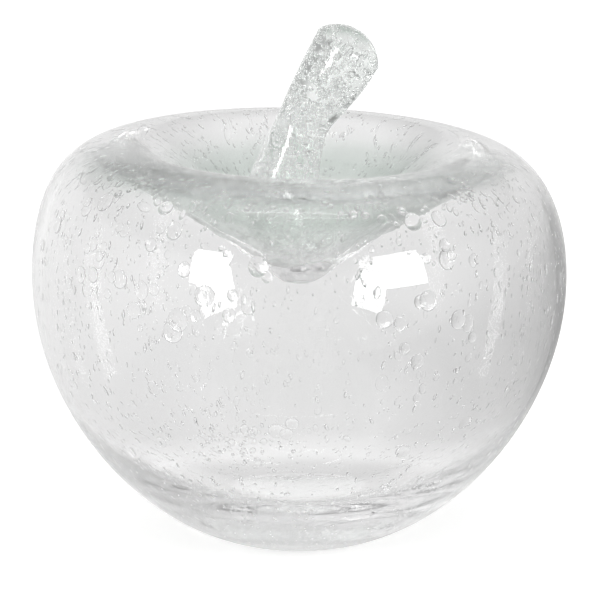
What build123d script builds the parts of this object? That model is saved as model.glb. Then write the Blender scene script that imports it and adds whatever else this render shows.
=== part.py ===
from build123d import *

import math
import os

# Hollow art glass apple, hand blown from seeded clear glass: a blown body, a drawn stem that
# plugs its neck hole, and a ground pontil wad in its foot. Millimetres, +Z up, origin at the
# centre of the foot that the apple stands on. The stem leans towards +X. The three pieces are
# fused hot, so nothing moves.

# Outside of the body
body_diameter = 180.0
equator_height = 90.0
crest_height = 135.6
crest_diameter = 116.5
foot_diameter = 47.0
foot_rise_angle = 10.7

# Fullness: how far each curve runs straight on before it turns
foot_fullness = 32.6
belly_fullness = 44.0
shoulder_fullness = 20.0
crest_fullness = 26.0
lip_fullness = 6.0
throat_fullness = 7.5

# Dimple: a cone under the crest, open at the neck hole where the blowpipe was cracked off
cone_drop = 8.3
dimple_slope = 41.0
neck_hole_diameter = 16.0
seat_width = 7.0
bare_cone_width = 26.0

# Thickness of the blown wall, which is heaviest round the neck hole and in the floor
equator_wall = 3.5
crest_wall = 4.4
dimple_wall = 7.6
floor_thickness = 9.0

# Inside of the body: the lobe comes to a tighter crest than outside, and the bowl is fuller
under_taper = 2.0
under_drop = 5.4
inner_crest_shift = 4.75
inner_crest_fullness = 18.0
inner_lip_fullness = 1.6
inner_throat_fullness = 5.5
floor_fullness = 50.0
bowl_fullness = 54.0

# Stem: a hot bit dropped on the neck hole, drawn up, bent over and rounded at the tip.
# Each ring of it has a shift towards +X, a rise over the seat, a radius and a lean.
plug_bulge = 1.8
stem_rings = [
    (-4.0, 8.8, 14.2, 0.0),
    (-4.9, 19.1, 11.9, 0.0),
    (-2.2, 28.2, 9.9, 8.0),
    (1.2, 37.5, 8.8, 17.2),
    (6.0, 45.5, 10.1, 20.5),
    (11.2, 53.9, 11.2, 26.5),
    (16.35, 63.1, 11.7, 32.4),
]
stem_crown = 6.7
stem_steps = 18

# Larger gas seeds in the stem: they wind up its length in a spiral, big and small by turns
stem_seed_count = 54
stem_seed_diameter = 2.3
small_seed_share = 0.7
stem_seed_turn = 137.5
stem_seed_reach = 0.72
stem_seed_lows = 5
stem_seed_ends = (0.06, 0.97)

# Pontil wad: what the holding iron left in the foot, ground flush
foot_ring_width = 3.5
pontil_depth = 3.0

body_radius = body_diameter / 2
crest_radius = crest_diameter / 2
foot_radius = foot_diameter / 2
pontil_radius = foot_radius - foot_ring_width
neck_radius = neck_hole_diameter / 2
seat_radius = neck_radius + seat_width
cone_radius = seat_radius + bare_cone_width
slope = math.radians(dimple_slope)
under_slope = math.radians(dimple_slope - under_taper)
cone_height = crest_height - cone_drop
neck_height = cone_height - (cone_radius - neck_radius) * math.tan(slope)
neck_under_height = neck_height - dimple_wall / math.cos(slope)
inner_crest_height = crest_height - crest_wall
under_height = inner_crest_height - under_drop
under_radius = neck_radius + (under_height - neck_under_height) / math.tan(under_slope)


def at(radius, height):
    """A point of the turned section, which lies in the XZ plane."""
    return Vector(radius, 0, height)


def cone_point(radius):
    """A point on the outside of the dimple's cone."""
    return at(radius, neck_height + (radius - neck_radius) * math.tan(slope))


def outer_skin():
    """Outside of the body, from the foot over the crest and down the dimple to the neck hole."""
    rise = math.radians(foot_rise_angle)
    foot = at(foot_radius, 0)
    equator = at(body_radius, equator_height)
    crest = at(crest_radius, crest_height)
    cone_top = cone_point(cone_radius)
    along_foot = at(math.cos(rise), math.sin(rise))
    along_cone = at(math.cos(slope), math.sin(slope))
    return [
        Bezier(foot, foot + along_foot * foot_fullness, equator - at(0, belly_fullness), equator),
        Bezier(equator, equator + at(0, shoulder_fullness), crest + at(crest_fullness, 0), crest),
        Bezier(crest, crest - at(lip_fullness, 0), cone_top + along_cone * throat_fullness, cone_top),
        Line(cone_top, cone_point(neck_radius)),
    ]


def inner_skin():
    """Inside of the body, from the neck hole under the dimple and round the bowl to the floor."""
    under_top = at(under_radius, under_height)
    along_under = at(math.cos(under_slope), math.sin(under_slope))
    throat = under_top + along_under * inner_throat_fullness
    crest = at(crest_radius + inner_crest_shift, inner_crest_height)
    equator = at(body_radius - equator_wall, equator_height)
    floor = at(0, floor_thickness)
    return [
        Line(at(neck_radius, neck_under_height), under_top),
        Bezier(under_top, throat, crest - at(inner_lip_fullness, 0), crest),
        Bezier(crest, crest + at(inner_crest_fullness, 0), equator + at(0, shoulder_fullness), equator),
        Bezier(equator, equator - at(0, bowl_fullness), floor + at(floor_fullness, 0), floor),
    ]


def cap_arc(crown, rim):
    """Arc of a ball's cap, from its crown on the axis to its rim."""
    height = crown.Z - rim.Z
    ball_radius = (rim.X**2 + height**2) / (2 * height)
    half_turn = math.atan(height / rim.X)
    middle = at(ball_radius * math.sin(half_turn), crown.Z - ball_radius * (1 - math.cos(half_turn)))
    return ThreePointArc(crown, middle, rim)


def pontil_dome():
    """Top of the pontil wad, which is also the recess in the foot."""
    return cap_arc(at(0, pontil_depth), at(pontil_radius, 0))


def turned(*edges):
    """A solid turned about Z from the edges of its section."""
    return revolve(make_face(edges), axis=Axis.Z)


def make_blown_body():
    neck_wall = Line(cone_point(neck_radius), at(neck_radius, neck_under_height))
    floor_axis = Line(at(0, floor_thickness), at(0, pontil_depth))
    foot_ring = Line(at(pontil_radius, 0), at(foot_radius, 0))
    return turned(*outer_skin(), neck_wall, *inner_skin(), floor_axis, pontil_dome(), foot_ring)


def make_pontil_wad():
    ground_face = Line(at(pontil_radius, 0), at(0, 0))
    axis = Line(at(0, 0), at(0, pontil_depth))
    return turned(pontil_dome(), ground_face, axis)


def make_stem_foot():
    """Foot of the stem: it fills the cone up to the seat and bulges out under the neck hole."""
    drop = at(0, neck_under_height - plug_bulge)
    neck_under = at(neck_radius, neck_under_height)
    neck_top = cone_point(neck_radius)
    seat = cone_point(seat_radius)
    middle = at(0, seat.Z)
    return turned(
        cap_arc(drop, neck_under),
        Line(neck_under, neck_top),
        Line(neck_top, seat),
        Line(seat, middle),
        Line(middle, drop),
    )


def stem_side(side):
    """Edge of the stem in the XZ plane: -1 for the left one, 1 for the right one."""
    seat = cone_point(seat_radius)
    points = [at(side * seat_radius, seat.Z)]
    for shift, rise, radius, lean in stem_rings:
        turn = math.radians(lean)
        across = at(math.cos(turn), -math.sin(turn))
        points.append(at(shift, seat.Z + rise) + across * (side * radius))
    return Spline(*points)


def stem_ring(share):
    """Plane and radius of the stem's ring at a share of the way up."""
    left = stem_side(-1) @ share
    right = stem_side(1) @ share
    across = (right - left).normalized()
    ring_plane = Plane((left + right) / 2, across, at(-across.Z, across.X))
    return ring_plane, (right - left).length / 2


def stem_seeds():
    """Larger seeds of the stem, which are round holes full of gas."""
    first, last = stem_seed_ends
    seeds = []
    for count in range(stem_seed_count):
        ring_plane, ring_radius = stem_ring(first + (last - first) * count / (stem_seed_count - 1))
        reach = stem_seed_reach * ring_radius * math.sqrt((1 + count % stem_seed_lows) / stem_seed_lows)
        turn = math.radians(stem_seed_turn * count)
        seed_diameter = stem_seed_diameter * (small_seed_share if count % 2 else 1)
        spot = Pos(reach * math.cos(turn), reach * math.sin(turn), 0)
        seeds.append(ring_plane * spot * Sphere(seed_diameter / 2))
    return seeds


def make_stem():
    """Drawn stem: it leaves its foot upright, bends over towards +X and ends in a round tip."""
    sections = []
    for step in range(stem_steps + 1):
        ring_plane, ring_radius = stem_ring(step / stem_steps)
        sections.append(ring_plane * Circle(ring_radius))
    crown = turned(
        cap_arc(at(0, stem_crown), at(ring_radius, 0)),
        Line(at(ring_radius, 0), at(0, 0)),
        Line(at(0, 0), at(0, stem_crown)),
    )
    return loft(sections) + ring_plane * crown + make_stem_foot() - stem_seeds()


pieces = {
    "blown_body": make_blown_body(),
    "stem": make_stem(),
    "pontil_wad": make_pontil_wad(),
}

os.makedirs("parts", exist_ok=True)
for name, piece in pieces.items():
    export_step(piece, f"parts/{name}.step")
    print(name, round(piece.volume), piece.bounding_box().size)
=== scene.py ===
import math
import random

import bmesh
import bpy
from mathutils import Matrix, Vector, noise


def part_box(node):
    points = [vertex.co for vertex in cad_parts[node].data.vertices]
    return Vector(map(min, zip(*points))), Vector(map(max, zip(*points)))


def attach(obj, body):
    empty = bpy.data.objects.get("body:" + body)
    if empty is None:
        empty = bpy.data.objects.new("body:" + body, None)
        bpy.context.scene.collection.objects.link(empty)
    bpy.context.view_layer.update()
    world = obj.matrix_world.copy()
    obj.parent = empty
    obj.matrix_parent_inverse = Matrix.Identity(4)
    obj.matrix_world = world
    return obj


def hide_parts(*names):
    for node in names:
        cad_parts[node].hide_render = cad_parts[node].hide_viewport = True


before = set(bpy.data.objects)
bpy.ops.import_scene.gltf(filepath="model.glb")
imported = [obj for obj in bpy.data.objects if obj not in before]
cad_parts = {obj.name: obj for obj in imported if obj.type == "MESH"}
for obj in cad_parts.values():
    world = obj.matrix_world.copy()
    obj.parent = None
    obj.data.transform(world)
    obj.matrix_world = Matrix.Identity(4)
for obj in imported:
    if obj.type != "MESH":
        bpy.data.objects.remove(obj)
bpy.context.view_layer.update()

mm = 0.001
mergeGap = 0.002 * mm      # points closer than this are one point
slack = 0.05               # mm, for telling faces apart by where they lie
glassIndex = 1.52
print("frame loaded", sorted(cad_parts))


# Small helpers

def colour(hexText):
    # sRGB hex to the linear values that shaders take
    parts = [int(hexText[i:i + 2], 16) / 255 for i in (1, 3, 5)]
    linear = [p / 12.92 if p <= 0.04045 else ((p + 0.055) / 1.055) ** 2.4 for p in parts]
    return (*linear, 1.0)


def addNode(tree, kind, inputs=None, **settings):
    node = tree.nodes.new(kind)
    for name, value in settings.items():
        setattr(node, name, value)
    for name, value in (inputs or {}).items():
        if isinstance(value, bpy.types.NodeSocket):
            tree.links.new(value, node.inputs[name])
        else:
            node.inputs[name].default_value = value
    return node


def addRamp(tree, value, stops):
    # grey ramp of a value, each stop a position and a level
    node = addNode(tree, "ShaderNodeValToRGB", {"Fac": value})
    elements = node.color_ramp.elements
    while len(elements) < len(stops):
        elements.new(0.5)
    for element, (position, level) in zip(elements, stops):
        element.position = position
        element.color = (level, level, level, 1)
    return node.outputs["Color"]


def addGrain(tree, place, grainMm, detail, lowHex, highHex):
    # two near colours mottled by a fine noise
    grain = addNode(
        tree, "ShaderNodeTexNoise",
        {"Vector": place.outputs["Object"], "Scale": 1 / (grainMm * mm), "Detail": detail},
    )
    tone = addNode(tree, "ShaderNodeValToRGB", {"Fac": grain.outputs["Fac"]})
    tone.color_ramp.elements[0].color = colour(lowHex)
    tone.color_ramp.elements[1].color = colour(highHex)
    return tone.outputs["Color"]


def newMaterial(name):
    material = bpy.data.materials.new(name)
    material.use_nodes = True
    material.node_tree.nodes.clear()
    return material, material.node_tree


def ease(value, low, high):
    step = min(max((value - low) / (high - low), 0.0), 1.0)
    return step * step * (3 - 2 * step)


def bezier(points, t):
    # a point of a cubic curve given by its two ends and two handles
    a, b, c, d = points
    s = 1 - t
    return a * s ** 3 + b * (3 * s * s * t) + c * (3 * s * t * t) + d * t ** 3


def finishPiece(name, bm, materials, nodes=(), crease=180):
    # crease in degrees: sharper edges stay sharp
    mesh = bpy.data.meshes.new(name)
    for face in bm.faces:
        face.smooth = True
    for edge in bm.edges:
        edge.smooth = edge.calc_face_angle(0) < math.radians(crease)
    bm.to_mesh(mesh)
    bm.free()
    piece = bpy.data.objects.new(name, mesh)
    bpy.context.scene.collection.objects.link(piece)
    for material in materials:
        mesh.materials.append(material)
    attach(piece, "root")
    if nodes:
        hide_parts(*nodes)
    print("made", name, len(mesh.polygons), "faces")


# Sizes of the turned section, in millimetres: radius first, then height

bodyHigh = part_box("blown_body")[1]
body = {
    "radius": bodyHigh.x / mm,
    "crestHeight": bodyHigh.z / mm,
    "equatorHeight": 90.0,
    "crestRadius": 58.25,
    "footRadius": 23.5,
    "footRise": 10.7,          # degrees
    "footFullness": 32.6,
    "footEdge": 1.2,           # narrow bands that keep the foot's edges crisp
    "bellyFullness": 44.0,
    "shoulderFullness": 20.0,
    "crestFullness": 26.0,
    "lipFullness": 6.0,
    "throatFullness": 7.5,
    "coneTopHeight": 127.3,
    "coneRadius": 41.0,
    "dimpleSlope": 41.0,       # degrees, on top
    "underSlope": 39.0,        # degrees, underneath
    "underHeight": 88.5,       # of the neck hole's lower edge
    "underRadius": 54.0,
    "seatRadius": 15.0,
    "neckRadius": 8.0,
    "equatorWall": 3.5,
    "innerCrestHeight": 131.2,
    "innerCrestRadius": 63.0,
    "innerCrestFullness": 18.0,
    "innerLipFullness": 1.6,
    "innerThroatFullness": 5.5,
    "floorThickness": 9.0,
    "floorFullness": 50.0,
    "bowlFullness": 54.0,
    "turns": 300,              # steps of the spin
    "outerSteps": 44,          # of each outer curve
    "coneSteps": 9,
    "underSteps": 16,
    "innerSteps": (26, 30, 44),
    "crease": 8.0,             # degrees
    "tilt": 1.25,              # degrees that the shoulder leans, left side up
    "tiltHeights": (80.0, 128.0),
    "ripple": 1.2,             # of the cone's underside
    "rippleLength": 6.0,
    "rippleDepths": (1.0, 6.0),    # off the underside, where the ripple dies out
    "rippleRadii": (38.0, 50.0),   # and towards the lip
}
pontil = {"radius": 20.0, "depth": 3.0, "domeSteps": 12, "faceSteps": 6}


def rz(radius, height):
    return Vector((radius, height))


slope = math.radians(body["dimpleSlope"])
under = math.radians(body["underSlope"])
alongCone = rz(math.cos(slope), math.sin(slope))
alongUnder = rz(math.cos(under), math.sin(under))


def conePoint(radius):
    return rz(radius, body["coneTopHeight"] - (body["coneRadius"] - radius) * math.tan(slope))


def underPoint(radius):
    return rz(radius, body["underHeight"] + (radius - body["neckRadius"]) * math.tan(under))


underTop = underPoint(body["underRadius"])
neckTop = conePoint(body["neckRadius"]).y
neckUnder = underPoint(body["neckRadius"]).y


def outerLegs():
    rise = math.radians(body["footRise"])
    foot = rz(body["footRadius"], 0)
    equator = rz(body["radius"], body["equatorHeight"])
    crest = rz(body["crestRadius"], body["crestHeight"])
    coneTop = conePoint(body["coneRadius"])
    footHandle = foot + rz(math.cos(rise), math.sin(rise)) * body["footFullness"]
    crestHandle = crest + rz(body["crestFullness"], 0)
    lipHandle = crest - rz(body["lipFullness"], 0)
    return [
        (foot, footHandle, equator - rz(0, body["bellyFullness"]), equator),
        (equator, equator + rz(0, body["shoulderFullness"]), crestHandle, crest),
        (crest, lipHandle, coneTop + alongCone * body["throatFullness"], coneTop),
    ]


def innerLegs():
    floor = rz(0, body["floorThickness"])
    equator = rz(body["radius"] - body["equatorWall"], body["equatorHeight"])
    crest = rz(body["innerCrestRadius"], body["innerCrestHeight"])
    crestHandle = crest + rz(body["innerCrestFullness"], 0)
    lipHandle = crest - rz(body["innerLipFullness"], 0)
    return [
        (floor, floor + rz(body["floorFullness"], 0), equator - rz(0, body["bowlFullness"]), equator),
        (equator, equator + rz(0, body["shoulderFullness"]), crestHandle, crest),
        (crest, lipHandle, underTop + alongUnder * body["innerThroatFullness"], underTop),
    ]


def pontilDome():
    # arc of the ball whose cap is the wad's top, from its crown to its rim
    count = pontil["domeSteps"]
    ball = (pontil["radius"] ** 2 + pontil["depth"] ** 2) / (2 * pontil["depth"])
    full = math.asin(pontil["radius"] / ball)
    turnsOut = [full * i / count for i in range(count + 1)]
    return [rz(ball * math.sin(a), pontil["depth"] - ball * (1 - math.cos(a))) for a in turnsOut]


def handBlown(point):
    # the shoulder leans a little and the cone's underside ripples, as free-blown glass does
    low, high = body["tiltHeights"]
    lean = math.tan(math.radians(body["tilt"])) * ease(point.z, low * mm, high * mm)
    radius = math.hypot(point.x, point.y) / mm
    over = abs(point.z / mm - underPoint(radius).y)
    share = (1 - ease(over, *body["rippleDepths"])) * (1 - ease(radius, *body["rippleRadii"]))
    ripple = noise.noise(point / (body["rippleLength"] * mm)) * body["ripple"] * mm * share
    return Vector((point.x, point.y, point.z - point.x * lean + ripple))


def spinProfile(points):
    # points in millimetres, turned about Z into a closed skin
    bm = bmesh.new()
    verts = [bm.verts.new((p.x * mm, 0, p.y * mm)) for p in points]
    edges = [bm.edges.new(pair) for pair in zip(verts, verts[1:])]
    bmesh.ops.spin(
        bm, geom=verts + edges, cent=(0, 0, 0), axis=(0, 0, 1), dvec=(0, 0, 0),
        angle=math.tau, steps=body["turns"], use_merge=True, use_duplicate=False,
    )
    bmesh.ops.remove_doubles(bm, verts=bm.verts, dist=mergeGap)
    bmesh.ops.recalc_face_normals(bm, faces=bm.faces)
    return bm


# Materials

heavyGlassAndPaintedShade = {             # where the glass is thick enough to show its green, deepened into painted shade, in metres
    "coneReach": [(0.022, 0.0), (0.033, 1.0), (0.05, 1.0), (0.058, 0.0)],
    "coneHeight": [(0.05, 0.0), (0.07, 1.0), (0.121, 1.0), (0.129, 0.0)],
    "lipHeight": [(0.1285, 0.0), (0.132, 1.0)],
    "lipPaintedShadeFront": -0.045,    # Y where the front lip is greenest: painted shade, darkest towards the front
    "lipPaintedShadeShare": 0.75,
}


def heavyGreenAndPaintedShadeShare(tree, place):
    # 1 in the cone of the dimple, somewhat less in its front lip, 0 elsewhere; the lip's share is painted
    # shade that grows towards the front
    across = addNode(
        tree, "ShaderNodeVectorMath", {0: place.outputs["Object"], 1: (1, 1, 0)}, operation="MULTIPLY",
    )
    reach = addNode(tree, "ShaderNodeVectorMath", {0: across.outputs[0]}, operation="LENGTH")
    split = addNode(tree, "ShaderNodeSeparateXYZ", {"Vector": place.outputs["Object"]})
    coneReach = addRamp(tree, reach.outputs["Value"], heavyGlassAndPaintedShade["coneReach"])
    coneHeight = addRamp(tree, split.outputs["Z"], heavyGlassAndPaintedShade["coneHeight"])
    inCone = addNode(tree, "ShaderNodeMath", {0: coneReach, 1: coneHeight}, operation="MULTIPLY")
    lipHeight = addRamp(tree, split.outputs["Z"], heavyGlassAndPaintedShade["lipHeight"])
    front = addNode(
        tree, "ShaderNodeMapRange",
        {"Value": split.outputs["Y"], "From Min": 0.0, "From Max": heavyGlassAndPaintedShade["lipPaintedShadeFront"],
         "To Min": 0.0, "To Max": heavyGlassAndPaintedShade["lipPaintedShadeShare"]},
    )
    paintedLipShade = addNode(tree, "ShaderNodeMath", {0: lipHeight, 1: front.outputs[0]}, operation="MULTIPLY")
    either = addNode(
        tree, "ShaderNodeMath", {0: inCone.outputs[0], 1: paintedLipShade.outputs[0]}, operation="MAXIMUM",
    )
    return either.outputs[0]


def makeBlownGlass(name, thinHex, thickGreenAndShadeHex, cordMm, cordDepth):
    # clear soda-lime glass, free blown and fire polished: crisp gloss, faint cords that bend what
    # is seen through it, and a green that shows in the heavy cone of the dimple and its front lip,
    # deepened into painted shade there, most of all at the front of the lip
    material, tree = newMaterial(name)
    place = addNode(tree, "ShaderNodeTexCoord")
    # the glass's own green, deepened into painted shade in the cone and the front lip
    greenAndPaintedShade = addNode(
        tree, "ShaderNodeMix",
        {"Factor": heavyGreenAndPaintedShadeShare(tree, place), 6: colour(thinHex), 7: colour(thickGreenAndShadeHex)}, data_type="RGBA",
    )
    stretch = addNode(
        tree, "ShaderNodeMapping", {"Vector": place.outputs["Object"], "Scale": (1, 1, 0.45)},
    )
    cords = addNode(
        tree, "ShaderNodeTexNoise",
        {"Vector": stretch.outputs["Vector"], "Scale": 1 / (cordMm * mm), "Detail": 2.0, "Roughness": 0.4},
    )
    bump = addNode(
        tree, "ShaderNodeBump",
        {"Height": cords.outputs["Fac"], "Strength": 0.25, "Distance": cordDepth * mm},
    )
    shader = addNode(
        tree, "ShaderNodeBsdfPrincipled",
        {"Base Color": greenAndPaintedShade.outputs[2], "Roughness": 0.0, "IOR": glassIndex, "Transmission Weight": 1.0,
         "Normal": bump.outputs["Normal"]},
    )
    addNode(tree, "ShaderNodeOutputMaterial", {"Surface": shader.outputs["BSDF"]})
    return material


def makeFusedJoint():
    # glass fused to glass has no surface of its own, so the joint is clear to the eye
    material, tree = newMaterial("fusedGlassJoint")
    clear = addNode(tree, "ShaderNodeBsdfTransparent", {"Color": colour("#FFFFFF")})
    addNode(tree, "ShaderNodeOutputMaterial", {"Surface": clear.outputs["BSDF"]})
    return material


def makeGroundGlass():
    # the foot, ground flat on a wheel and half polished: clear, but a little soft to look through
    material, tree = newMaterial("groundFootGlass")
    place = addNode(tree, "ShaderNodeTexCoord")
    tone = addGrain(tree, place, 0.6, 3.0, "#F8FAF9", "#FFFFFF")
    shader = addNode(
        tree, "ShaderNodeBsdfPrincipled",
        {"Base Color": tone, "Roughness": 0.2, "IOR": glassIndex, "Transmission Weight": 1.0},
    )
    addNode(tree, "ShaderNodeOutputMaterial", {"Surface": shader.outputs["BSDF"]})
    return material


def makeSeedGas(name, index):
    # wall of a gas bubble: the step from glass to gas bends light outwards, so its rim shows as
    # a thin line; the index is that of the gas against the glass
    material, tree = newMaterial(name)
    shader = addNode(
        tree, "ShaderNodeBsdfPrincipled",
        {"Base Color": colour("#FFFFFF"), "Roughness": 0.0, "IOR": index, "Transmission Weight": 1.0},
    )
    addNode(tree, "ShaderNodeOutputMaterial", {"Surface": shader.outputs["BSDF"]})
    return material


# D4DCD7 is the heavy glass's green, darkened further as painted shade
bodyGlass = makeBlownGlass("sodaLimeBlownBody", "#FEFEFE", "#D4DCD7", 14.0, 0.25)
stemGlass = makeBlownGlass("sodaLimeDrawnStem", "#FAFDFB", "#FAFDFB", 3.0, 1.2)
fusedJoint = makeFusedJoint()
groundGlass = makeGroundGlass()
flatGas = makeSeedGas("flatSeedGas", 0.88)      # squashed seeds bend light least
roundGas = makeSeedGas("roundSeedGas", 0.77)
print("materials made")


# Blown body

def bodyProfile():
    # round the section: pontil recess, foot, outside, dimple, neck hole, inside
    profile = pontilDome()
    profile += [rz(pontil["radius"] + body["footEdge"], 0), rz(body["footRadius"] - body["footEdge"], 0)]
    count = body["outerSteps"]
    for leg in outerLegs():
        profile += [bezier(leg, i / count) for i in range(count + 1)]
    count = body["coneSteps"]
    bare = body["seatRadius"] - body["coneRadius"]
    profile += [conePoint(body["coneRadius"] + bare * i / count) for i in range(1, count + 1)]
    profile += [conePoint((body["seatRadius"] + body["neckRadius"]) / 2), conePoint(body["neckRadius"])]
    neckLow = rz(body["neckRadius"], neckUnder)
    profile += [rz(body["neckRadius"], (neckTop + neckUnder) / 2), neckLow]
    profile += [neckLow.lerp(underTop, i / body["underSteps"]) for i in range(1, body["underSteps"])]
    for leg, count in zip(reversed(innerLegs()), body["innerSteps"]):
        profile += [bezier(leg, 1 - i / count) for i in range(count + 1)]
    return profile


def makeBody():
    bm = spinProfile(bodyProfile())
    for face in bm.faces:
        centre = face.calc_center_median() / mm
        radius = math.hypot(centre.x, centre.y)
        onSeat = radius < body["seatRadius"] and abs(centre.z - conePoint(radius).y) < slack
        onNeck = radius < body["neckRadius"] + slack and neckUnder < centre.z < neckTop
        onWad = radius < pontil["radius"] and centre.z < pontil["depth"] + slack
        onFoot = radius > pontil["radius"] and centre.z < slack
        face.material_index = 2 if onFoot else 1 if onSeat or onNeck or onWad else 0
    for vert in bm.verts:
        vert.co = handBlown(vert.co)
    materials = [bodyGlass, fusedJoint, groundGlass]
    finishPiece("blownBody", bm, materials, ["blown_body"], body["crease"])


# Stem

stem = {
    "turns": 96,
    "bulge": 1.8,
    "stations": [                     # x, z, radius and lean of each ring
        (0.0, conePoint(body["seatRadius"]).y, body["seatRadius"], 0.0),
        (-4.0, 113.5, 14.2, 0.0),
        (-4.9, 123.75, 11.9, 0.0),
        (-2.2, 132.9, 9.9, 8.0),
        (1.2, 142.2, 8.8, 17.2),
        (6.0, 150.2, 10.1, 20.5),
        (11.2, 158.6, 11.2, 26.5),
        (16.35, 167.75, 11.7, 32.4),
    ],
    "crown": 6.7,
    "bulgeSteps": 7,
    "shaftSteps": 60,
    "crownSteps": 12,
}


def ringMatrix(x, z, radius, lean):
    turned = Matrix.Rotation(math.radians(lean), 4, "Y")
    return Matrix.Translation((x, 0, z)) @ turned @ Matrix.Scale(radius, 4)


def stemRing(t):
    # ring at t of the way up: a smooth curve through the stations on either side
    rings = [ringMatrix(*station) for station in stem["stations"]]
    last = len(rings) - 1
    here = min(int(t * last), last - 1)
    s = t * last - here
    low, high = rings[here], rings[here + 1]
    before = rings[here - 1] if here > 0 else low * 2 - high
    after = rings[here + 2] if here + 2 <= last else high * 2 - low
    riseLow = (high - before) * 0.5
    riseHigh = (after - low) * 0.5
    bend = low * (2 * s ** 3 - 3 * s ** 2 + 1) + high * (3 * s ** 2 - 2 * s ** 3)
    return bend + riseLow * (s ** 3 - 2 * s ** 2 + s) + riseHigh * (s ** 3 - s ** 2)


def capPoints(rim, height, count):
    # radius and height of rings on a ball's cap, from its rim towards its crown
    ball = (rim ** 2 + height ** 2) / (2 * height)
    full = math.asin(rim / ball)
    turnsIn = [full * (1 - i / count) for i in range(count + 1)]
    return [(ball * math.sin(a), height - ball * (1 - math.cos(a))) for a in turnsIn]


def stemRings():
    # from the drop under the neck hole, through the hole and the cone, up to the tip
    rings = []
    for radius, rise in reversed(capPoints(body["neckRadius"], stem["bulge"], stem["bulgeSteps"])[:-1]):
        rings.append(ringMatrix(0, neckUnder - rise, radius, 0))
    rings.append(ringMatrix(0, neckTop, body["neckRadius"], 0))
    count = stem["shaftSteps"]
    rings += [stemRing(i / count) for i in range(count + 1)]
    tip = rings[-1]
    tipRadius = stem["stations"][-1][2]
    for radius, rise in capPoints(tipRadius, stem["crown"], stem["crownSteps"])[1:-1]:
        lift = Matrix.Translation((0, 0, rise / tipRadius))
        rings.append(tip @ lift @ Matrix.Scale(radius / tipRadius, 4))
    return rings


def makeStem():
    bm = bmesh.new()
    seatZ = stem["stations"][0][1]
    loops = []
    for matrix in stemRings():
        place = Matrix.Scale(mm, 4) @ matrix
        made = bmesh.ops.create_circle(bm, cap_ends=False, segments=stem["turns"], radius=1, matrix=place)
        loops.append(list({edge for vert in made["verts"] for edge in vert.link_edges}))
    for lower, upper in zip(loops, loops[1:]):
        bmesh.ops.bridge_loops(bm, edges=lower + upper)
    for loop in (loops[0], loops[-1]):
        bmesh.ops.contextual_create(bm, geom=loop)
    bmesh.ops.recalc_face_normals(bm, faces=bm.faces)
    for face in bm.faces:
        centre = face.calc_center_median() / mm
        face.material_index = 1 if neckUnder < centre.z < seatZ - slack else 0
    for vert in bm.verts:
        vert.co = handBlown(vert.co)
    finishPiece("drawnStem", bm, [stemGlass, fusedJoint], ["stem"])


# Pontil wad

def makePontil():
    count = pontil["faceSteps"]
    ground = [rz(pontil["radius"] * (1 - i / count), 0) for i in range(1, count + 1)]
    bm = spinProfile(pontilDome() + ground)
    for face in bm.faces:
        face.material_index = 1 if face.calc_center_median().z > slack * mm else 0
    finishPiece("pontilWad", bm, [groundGlass, fusedJoint], ["pontil_wad"], body["crease"])


makeBody()
makeStem()
makePontil()


# Seeds: gas bubbles drawn out and flattened in the wall as it was blown. Each kind has its half
# width in mm, and how long and how thick a seed is against its width

seeds = {
    "randomSeed": 41,
    "leftPull": 0.35,       # how much the seeds gather on the left
    "clearance": 0.2,       # glass left over each seed, mm
    "slant": 0.25,          # radians, how far they stray from the way the glass was drawn
    "seatGap": 3.0,         # mm that they keep off the stem's seat
    "spanSteps": 60,
    "fine": {
        "count": 2600, "half": (0.3, 0.7), "long": (1.2, 3.0), "flat": (0.15, 0.3),
        "detail": 1, "gas": flatGas,
    },
    "middle": {
        "count": 500, "half": (0.6, 1.3), "long": (1.0, 2.0), "flat": (0.12, 0.22),
        "detail": 2, "gas": flatGas,
    },
    "ring": {
        "count": 50, "half": (1.6, 3.6), "long": (1.0, 1.15), "flat": (0.06, 0.13),
        "detail": 3, "gas": roundGas,
    },
    "drop": {
        "count": 0, "half": (0.9, 2.0), "long": (0.9, 1.1), "flat": (0.6, 0.9),
        "detail": 2, "gas": roundGas,
    },
    "speck": {
        "count": 0, "half": (0.3, 0.7), "long": (1.0, 1.3), "flat": (0.6, 1.0),
        "detail": 2, "gas": roundGas,
    },
    "clusters": [           # kind, count, degrees right of the front and spread, height and spread, where
        ("ring", 24, -42, 20, 112, 18, "side"),
        ("ring", 14, -19, 12, 106, 13, "side"),
        ("ring", 3, -4, 5, 64, 5, "side"),
        ("ring", 8, 29, 8, 113, 14, "side"),
        ("ring", 6, 22, 8, 92, 10, "side"),
        ("middle", 30, -14, 9, 60, 8, "side"),
        ("middle", 260, 0, 120, 133, 5, "side"),
        ("fine", 400, 90, 34, 92, 44, "side"),
        ("fine", 300, 0, 720, 12, 12, "side"),
        ("fine", 700, 0, 720, 116, 22, "cone"),
        ("drop", 44, 0, 130, 106, 18, "cone"),
        ("drop", 60, 0, 120, 133.5, 4, "side"),
        ("speck", 50, -16, 14, 60, 14, "side"),
        ("speck", 30, -14, 20, 40, 12, "side"),
    ],
    "stem": {
        "count": 1100, "half": (0.3, 1.2), "long": (1.0, 1.7), "detail": 1,
        "ends": (0.02, 0.99),    # shares of the stem's length
        "reach": 0.9,            # share of its radius
    },
}


def straight(start, end):
    return [start.lerp(end, i / 3) for i in range(4)]


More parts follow.
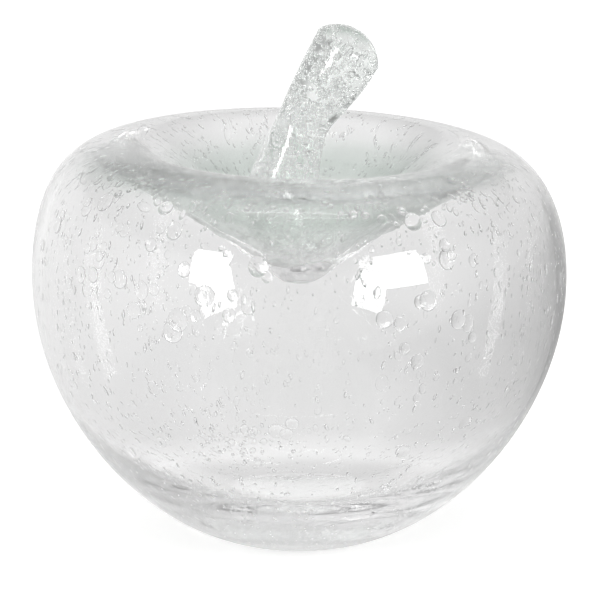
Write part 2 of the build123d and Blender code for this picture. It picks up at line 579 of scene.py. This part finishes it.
def wallSpans():
    # spans across the wall: its outer and inner point, how each skin runs there, and its share
    count = seeds["spanSteps"]
    coneOuter = straight(conePoint(body["coneRadius"]), conePoint(body["seatRadius"]))
    coneInner = straight(underTop, underPoint(body["seatRadius"] + seeds["seatGap"]))
    spans = []
    for outer, inner in zip(outerLegs() + [coneOuter], innerLegs() + [coneInner]):
        for i in range(count):
            outRun = bezier(outer, (i + 1) / count) - bezier(outer, i / count)
            inRun = bezier(inner, (i + 1) / count) - bezier(inner, i / count)
            outPoint = bezier(outer, (i + 0.5) / count)
            inPoint = bezier(inner, (i + 0.5) / count)
            spans.append({
                "out": outPoint, "in": inPoint, "outRun": outRun.normalized(), "inRun": inRun.normalized(),
                "share": outRun.length * outPoint.x,
            })
    return spans


def mostlySmall(draw, low, high):
    return low + (high - low) * draw.random() ** 2


def seedPlace(draw, span, kind, turn):
    # one seed: where it sits in the wall, and the matrix that shapes it and lays it along the skin
    half = mostlySmall(draw, *kind["half"])
    across = span["out"] - span["in"]
    wall = abs(across.cross(span["outRun"]))
    thick = min(half * draw.uniform(*kind["flat"]), wall / 2 - seeds["clearance"])
    room = max(1 - 2 * (thick + seeds["clearance"]) / wall, 0.0)
    inward = 0.5 + (draw.random() - 0.5) * room
    spot = span["out"].lerp(span["in"], inward)
    run = span["outRun"].lerp(span["inRun"], inward).normalized()
    around = Matrix.Rotation(turn, 4, "Z")
    tangent = Vector((run.x, 0, run.y))
    normal = Vector((run.y, 0, -run.x))
    turned = Matrix((normal.cross(tangent), tangent, normal)).transposed().to_4x4()
    slant = Matrix.Rotation(draw.gauss(0, seeds["slant"]), 4, "Z")
    length = half * draw.uniform(*kind["long"])
    shape = Matrix.Diagonal((half * mm, length * mm, thick * mm, 1))
    centre = around @ Vector((spot.x * mm, 0, spot.y * mm))
    return Matrix.Translation(handBlown(centre)) @ around @ turned @ slant @ shape


def addSeeds(name, places, subdivisions, gas):
    ball = bmesh.new()
    bmesh.ops.create_icosphere(ball, subdivisions=subdivisions, radius=1)
    one = bpy.data.meshes.new("oneSeed")
    ball.to_mesh(one)
    ball.free()
    whole = bmesh.new()
    for place in places:
        copy = one.copy()
        copy.transform(place)
        whole.from_mesh(copy)
        bpy.data.meshes.remove(copy)
    bpy.data.meshes.remove(one)
    finishPiece(name, whole, [gas])


def makeWallSeeds():
    draw = random.Random(seeds["randomSeed"])
    spans = wallSpans()
    weights = [span["share"] for span in spans]
    sideCount = 2 * seeds["spanSteps"]     # the belly's and the shoulder's spans come first
    spots = {"side": spans[:sideCount], "cone": spans[sideCount:]}
    places = {}
    for label in ("fine", "middle", "ring", "drop", "speck"):
        kind = seeds[label]
        chosen = draw.choices(spans, weights=weights, k=kind["count"])
        turns = [draw.vonmisesvariate(math.pi, seeds["leftPull"]) for span in chosen]
        places[label] = [seedPlace(draw, span, kind, turn) for span, turn in zip(chosen, turns)]
    for label, count, turn, turnSpread, height, heightSpread, where in seeds["clusters"]:
        for i in range(count):
            level = draw.gauss(height, heightSpread / 2)
            span = min(spots[where], key=lambda s: abs(s["out"].y - level))
            angle = math.radians(draw.gauss(turn, turnSpread / 2) - 90)
            places[label].append(seedPlace(draw, span, seeds[label], angle))
    for label, matrices in places.items():
        addSeeds(f"wallSeeds.{label}", matrices, seeds[label]["detail"], seeds[label]["gas"])


def makeStemSeeds():
    draw = random.Random(seeds["randomSeed"] + 1)
    kind = seeds["stem"]
    places = []
    for i in range(kind["count"]):
        ring = stemRing(draw.uniform(*kind["ends"]))
        out = math.sqrt(draw.random()) * kind["reach"]
        turn = draw.uniform(0, math.tau)
        spot = ring @ Vector((out * math.cos(turn), out * math.sin(turn), 0))
        half = mostlySmall(draw, *kind["half"])
        length = half * draw.uniform(*kind["long"])
        along = ring.to_quaternion().to_matrix().to_4x4()
        shape = Matrix.Diagonal((half * mm, half * mm, length * mm, 1))
        places.append(Matrix.Translation(handBlown(spot * mm)) @ along @ shape)
    addSeeds("stemSeeds", places, kind["detail"], roundGas)


makeWallSeeds()
makeStemSeeds()


# Stage: a white table that ends in front of the apple, and a room that is pale but not white

stage = {
    "tableRadius": 4.0,          # metres
    "tableTurns": 96,
    "tableFront": 0.32,          # how far the table runs towards the viewer
    "drop": 0.06 * mm,           # hair of air under the foot
    "near": 0.6,                 # light the bare table adds of its own by the apple
    "far": 0.75,                 # and further off
    "nearReach": 0.15,           # metres from the axis
    "farReach": 1.2,
    "grainMm": 25.0,
    "leastDepth": 0.25,          # metres behind the axis from where bearings count
    "through": [                 # painted light and shadow that the glass shows on the table: a painted pool of light under the foot and a ring beyond, a painted shadow ring between, grey further off; metres from the axis, level
        (0.0, 0.97), (0.022, 0.97), (0.027, 0.74), (0.042, 0.77), (0.056, 0.94), (0.09, 0.77),
        (0.2, 0.78), (0.8, 0.9),
    ],
    "shade": [                   # painted shade from left to right, darker on the right: half the bearing plus a half, level
        (0.4, 1.06), (0.5, 1.0), (0.61, 1.0), (0.71, 0.78), (0.83, 0.45),
    ],
    "sky": [                     # room that the glass shows: sine of the height, level
        (0.0, 0.86), (0.3, 0.74), (0.37, 0.6), (0.43, 0.22), (0.64, 0.22), (0.75, 0.46), (0.84, 1.0),
    ],
    "leftRoom": 1.2,             # the room is brighter on the left
    "rightRoom": 0.7,
    "lampDistance": 1.2,         # metres
    "lampAim": 0.1,              # height that the lamps point at
    "lamps": {                   # degrees right of the viewer and up, metres wide and high, watts
        "softboxLeft": (-37.6, 17.6, 0.32, 0.40, 4.8),
        "softboxRight": (44.4, 17.8, 0.40, 0.39, 5.9),
        "stripLight": (0.0, 84.0, 0.6, 0.025, 0.3),
    },
}


def tablePaintAndPaintedLight():
    # matt white paint that keeps the apple's shadow; through the glass it glows instead, with painted light
    # under the foot, a painted shadow ring and painted shade on the right
    material, tree = newMaterial("whiteTableWithPaintedLight")
    path = addNode(tree, "ShaderNodeLightPath")
    place = addNode(tree, "ShaderNodeTexCoord")
    paint = addGrain(tree, place, stage["grainMm"], 2.0, "#E4E4E3", "#E9E9E8")
    matt = addNode(tree, "ShaderNodeBsdfDiffuse", {"Color": paint})
    reach = addNode(tree, "ShaderNodeVectorMath", {0: place.outputs["Object"]}, operation="LENGTH")
    far = addNode(
        tree, "ShaderNodeMapRange",
        {"Value": reach.outputs["Value"], "From Min": stage["nearReach"], "From Max": stage["farReach"],
         "To Min": stage["near"], "To Max": stage["far"]},
    )
    lift = addNode(
        tree, "ShaderNodeMath", {0: far.outputs[0], 1: path.outputs["Is Camera Ray"]}, operation="MULTIPLY",
    )
    glow = addNode(tree, "ShaderNodeEmission", {"Strength": lift.outputs[0]})
    bare = addNode(tree, "ShaderNodeAddShader", {0: matt.outputs[0], 1: glow.outputs[0]})
    around = addRamp(tree, reach.outputs["Value"], stage["through"])
    split = addNode(tree, "ShaderNodeSeparateXYZ", {"Vector": place.outputs["Object"]})
    depth = addNode(
        tree, "ShaderNodeMath", {0: split.outputs["Y"], 1: stage["leastDepth"]}, operation="MAXIMUM",
    )
    bearing = addNode(
        tree, "ShaderNodeMath", {0: split.outputs["X"], 1: depth.outputs[0]}, operation="DIVIDE",
    )
    across = addNode(
        tree, "ShaderNodeMath", {0: bearing.outputs[0], 1: 0.5, 2: 0.5}, operation="MULTIPLY_ADD",
    )
    shade = addRamp(tree, across.outputs[0], stage["shade"])
    # painted light and shade that the glass shows on the table, in place of its own lighting
    behind = addNode(tree, "ShaderNodeMath", {0: around, 1: shade}, operation="MULTIPLY")
    paintedGlassLight = addNode(tree, "ShaderNodeEmission", {"Strength": behind.outputs[0]})
    through = addNode(
        tree, "ShaderNodeMath",
        {0: path.outputs["Is Transmission Ray"], 1: path.outputs["Is Glossy Ray"]}, operation="MAXIMUM",
    )
    both = addNode(
        tree, "ShaderNodeMixShader",
        {"Fac": through.outputs[0], 1: bare.outputs[0], 2: paintedGlassLight.outputs[0]},
    )
    addNode(tree, "ShaderNodeOutputMaterial", {"Surface": both.outputs[0]})
    return material


def makeTable():
    bm = bmesh.new()
    place = Matrix.Translation((0, 0, -stage["drop"]))
    bmesh.ops.create_circle(
        bm, cap_ends=True, segments=stage["tableTurns"], radius=stage["tableRadius"], matrix=place,
    )
    bmesh.ops.bisect_plane(
        bm, geom=bm.verts[:] + bm.edges[:] + bm.faces[:], plane_co=(0, -stage["tableFront"], 0),
        plane_no=(0, -1, 0), clear_outer=True,
    )
    mesh = bpy.data.meshes.new("table")
    bm.to_mesh(mesh)
    bm.free()
    mesh.materials.append(tablePaintAndPaintedLight())
    table = bpy.data.objects.new("table", mesh)
    bpy.context.scene.collection.objects.link(table)


def makeRoom():
    # the camera sees white; the glass sees the room's greys, which draw its edges
    world = bpy.data.worlds.new("room")
    world.use_nodes = True
    bpy.context.scene.world = world
    tree = world.node_tree
    tree.nodes.clear()
    path = addNode(tree, "ShaderNodeLightPath")
    place = addNode(tree, "ShaderNodeTexCoord")
    split = addNode(tree, "ShaderNodeSeparateXYZ", {"Vector": place.outputs["Generated"]})
    height = addRamp(tree, split.outputs["Z"], stage["sky"])
    side = addNode(
        tree, "ShaderNodeMapRange",
        {"Value": split.outputs["X"], "From Min": -1.0, "From Max": 1.0,
         "To Min": stage["leftRoom"], "To Max": stage["rightRoom"]},
    )
    room = addNode(tree, "ShaderNodeBackground", {"Color": height, "Strength": side.outputs[0]})
    white = addNode(tree, "ShaderNodeBackground", {"Color": colour("#FFFFFF"), "Strength": 1.0})
    mix = addNode(
        tree, "ShaderNodeMixShader",
        {"Fac": path.outputs["Is Camera Ray"], 1: room.outputs[0], 2: white.outputs[0]},
    )
    addNode(tree, "ShaderNodeOutputWorld", {"Surface": mix.outputs[0]})


def upFromFront(azimuth, elevation):
    # direction by degrees to the right of the viewer, and up
    a = math.radians(azimuth)
    e = math.radians(elevation)
    return Vector((math.sin(a) * math.cos(e), -math.cos(a) * math.cos(e), math.sin(e)))


def standAt(holder, aim, towards, distance):
    # puts a lamp or a camera at a distance from its aim, looking back at it
    bpy.context.scene.collection.objects.link(holder)
    holder.location = aim + towards * distance
    holder.rotation_euler = (-towards).to_track_quat("-Z", "Y").to_euler()


def makeLamp(name, azimuth, elevation, width, height, power):
    lamp = bpy.data.lights.new(name, "AREA")
    lamp.shape = "RECTANGLE"
    lamp.size = width
    lamp.size_y = height
    lamp.energy = power
    holder = bpy.data.objects.new(name, lamp)
    aim = Vector((0, 0, stage["lampAim"]))
    standAt(holder, aim, upFromFront(azimuth, elevation), stage["lampDistance"])


makeTable()
makeRoom()
for name, settings in stage["lamps"].items():
    makeLamp(name, *settings)
print("stage set")


# Camera: fitted to the photo's outline

view = {
    "distance": 810.0,
    "elevation": 15.47,        # degrees
    "aimHeight": 81.0,
    "aimX": 0.24,
    "focal": 143.1,
    "sensor": 36.0,
    "bounces": 160,            # light runs far inside a thick wall
}


def makeCamera():
    camera = bpy.data.cameras.new("photoCamera")
    camera.lens = view["focal"]
    camera.sensor_width = view["sensor"]
    holder = bpy.data.objects.new("photoCamera", camera)
    aim = Vector((view["aimX"], 0, view["aimHeight"])) * mm
    standAt(holder, aim, upFromFront(0, view["elevation"]), view["distance"] * mm)
    bpy.context.scene.camera = holder


makeCamera()
scene = bpy.context.scene
scene.view_settings.view_transform = "Standard"
scene.cycles.max_bounces = view["bounces"]
scene.cycles.transmission_bounces = view["bounces"]
scene.cycles.glossy_bounces = view["bounces"]
scene.cycles.transparent_max_bounces = view["bounces"]
